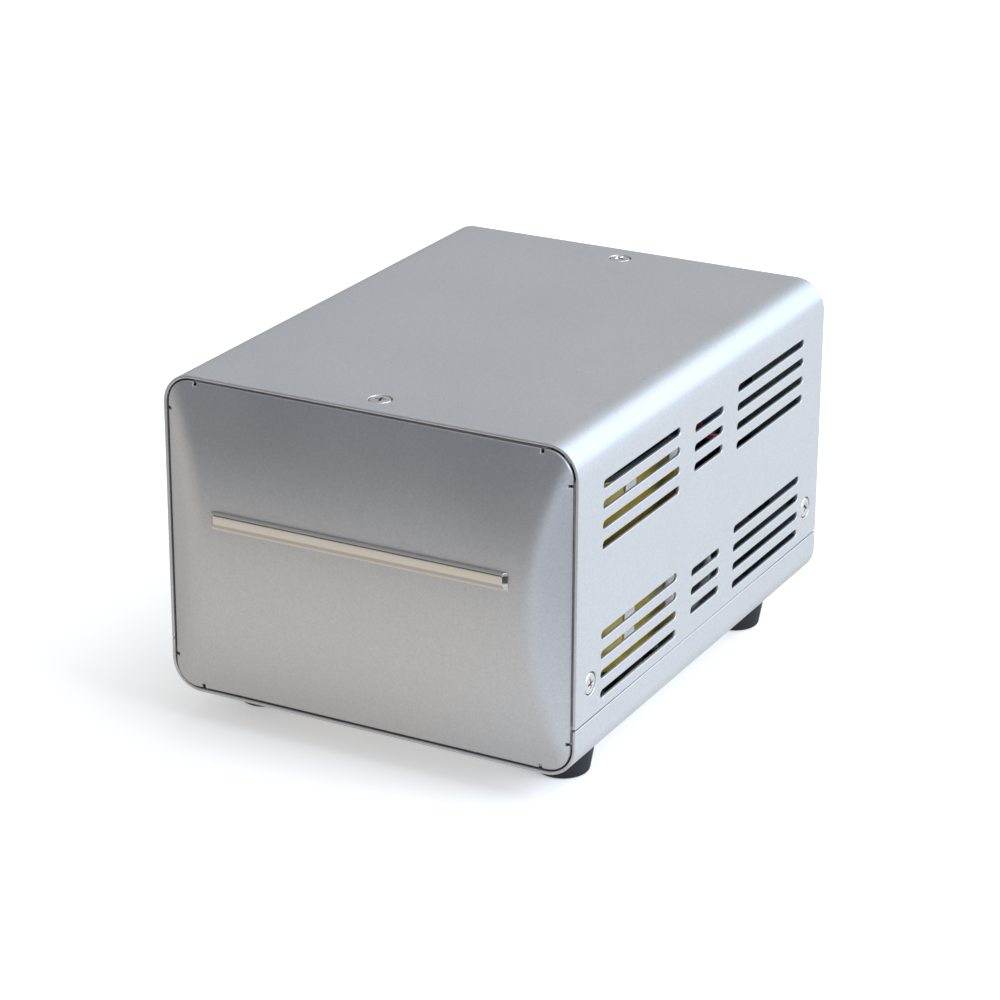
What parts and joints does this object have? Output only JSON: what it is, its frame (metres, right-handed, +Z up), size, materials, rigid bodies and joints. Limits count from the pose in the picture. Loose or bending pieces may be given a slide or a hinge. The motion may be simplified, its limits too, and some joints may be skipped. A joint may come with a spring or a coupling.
{
  "type": "bench voltage converter",
  "caption": "Step-up and step-down transformer in a folded steel case with slotted sides, a pressed front panel, rubber feet and rear sockets.",
  "frame": {"origin": "on the floor, under the middle of the case", "axes": "+Z up, the front panel faces -Y, +X is the right side seen from the front"},
  "size_m": [0.1628, 0.2218, 0.133],
  "materials": {
    "bar_bright": "bright plated bar",
    "black_plastic": "moulded black",
    "black_pvc": "lead insulation",
    "blue_pvc": "lead insulation",
    "bobbin_plastic": "moulded spool",
    "brown_pvc": "lead insulation",
    "case_paint": "satin silver metallic paint",
    "coil_tape": "yellow polyester tape",
    "contact_brass": "stamped brass",
    "copper": "enamelled wire",
    "core_steel": "varnished lamination edges",
    "foot_rubber": "matt black rubber",
    "green_pvc": "earth lead insulation",
    "ivory_plastic": "moulded case",
    "red_pvc": "lead insulation",
    "white_plastic": "moulded white",
    "white_pvc": "lead insulation",
    "white_tape": "woven white tape",
    "zinc": "bright zinc"
  },
  "bodies": {
    "case": {"bottom_tray": "case_paint", "top_cover": "case_paint", "front_panel": "case_paint", "rear_panel": "case_paint", "rear_flanges": "case_paint", "name_bar": "bar_bright", "top_screws": "zinc", "side_screws": "zinc", "tray_screws": "zinc", "clinch_nuts": "zinc", "foot_front_left": "foot_rubber", "foot_front_right": "foot_rubber", "foot_rear_left": "foot_rubber", "foot_rear_right": "foot_rubber", "foot_screws": "zinc", "foot_nuts": "zinc", "e_laminations": "core_steel", "i_laminations": "core_steel", "coil_bobbin": "bobbin_plastic", "inner_winding": "copper", "outer_winding": "copper", "coil_wrap": "coil_tape", "tie_tapes": "white_tape", "thermal_cutout": "ivory_plastic", "angle_left": "zinc", "angle_right": "zinc", "core_bolts": "zinc", "core_washers": "zinc", "core_nuts": "zinc", "angle_screws": "zinc", "angle_nuts": "zinc", "inlet_body": "black_plastic", "inlet_pins": "zinc", "inlet_screws": "zinc", "inlet_nuts": "zinc", "rocker_housing": "black_plastic", "rocker_tabs": "contact_brass", "breaker_body": "black_plastic", "breaker_nut": "zinc", "breaker_tabs": "contact_brass", "flat_outlet": "black_plastic", "flat_contacts": "contact_brass", "round_outlet": "black_plastic", "round_contacts": "contact_brass", "earth_screw": "zinc", "earth_nut": "contact_brass", "lead_blue": "blue_pvc", "lead_red": "red_pvc", "lead_white": "white_pvc", "lead_black": "black_pvc", "lead_brown": "brown_pvc", "lead_earth": "green_pvc"},
    "rocker": {"rocker": "black_plastic"},
    "reset": {"reset_button": "white_plastic"}
  },
  "joints": [
    {"name": "rocker_pivot", "type": "hinge", "parent": "case", "child": "rocker", "pos_m": [0.006, 0.098, 0.0526], "axis": [1, 0, 0], "range_deg": [0, 20]},
    {"name": "reset_slide", "type": "slide", "parent": "case", "child": "reset", "axis": [0, 1, 0], "range_m": [0, 0.003]}
  ]
}
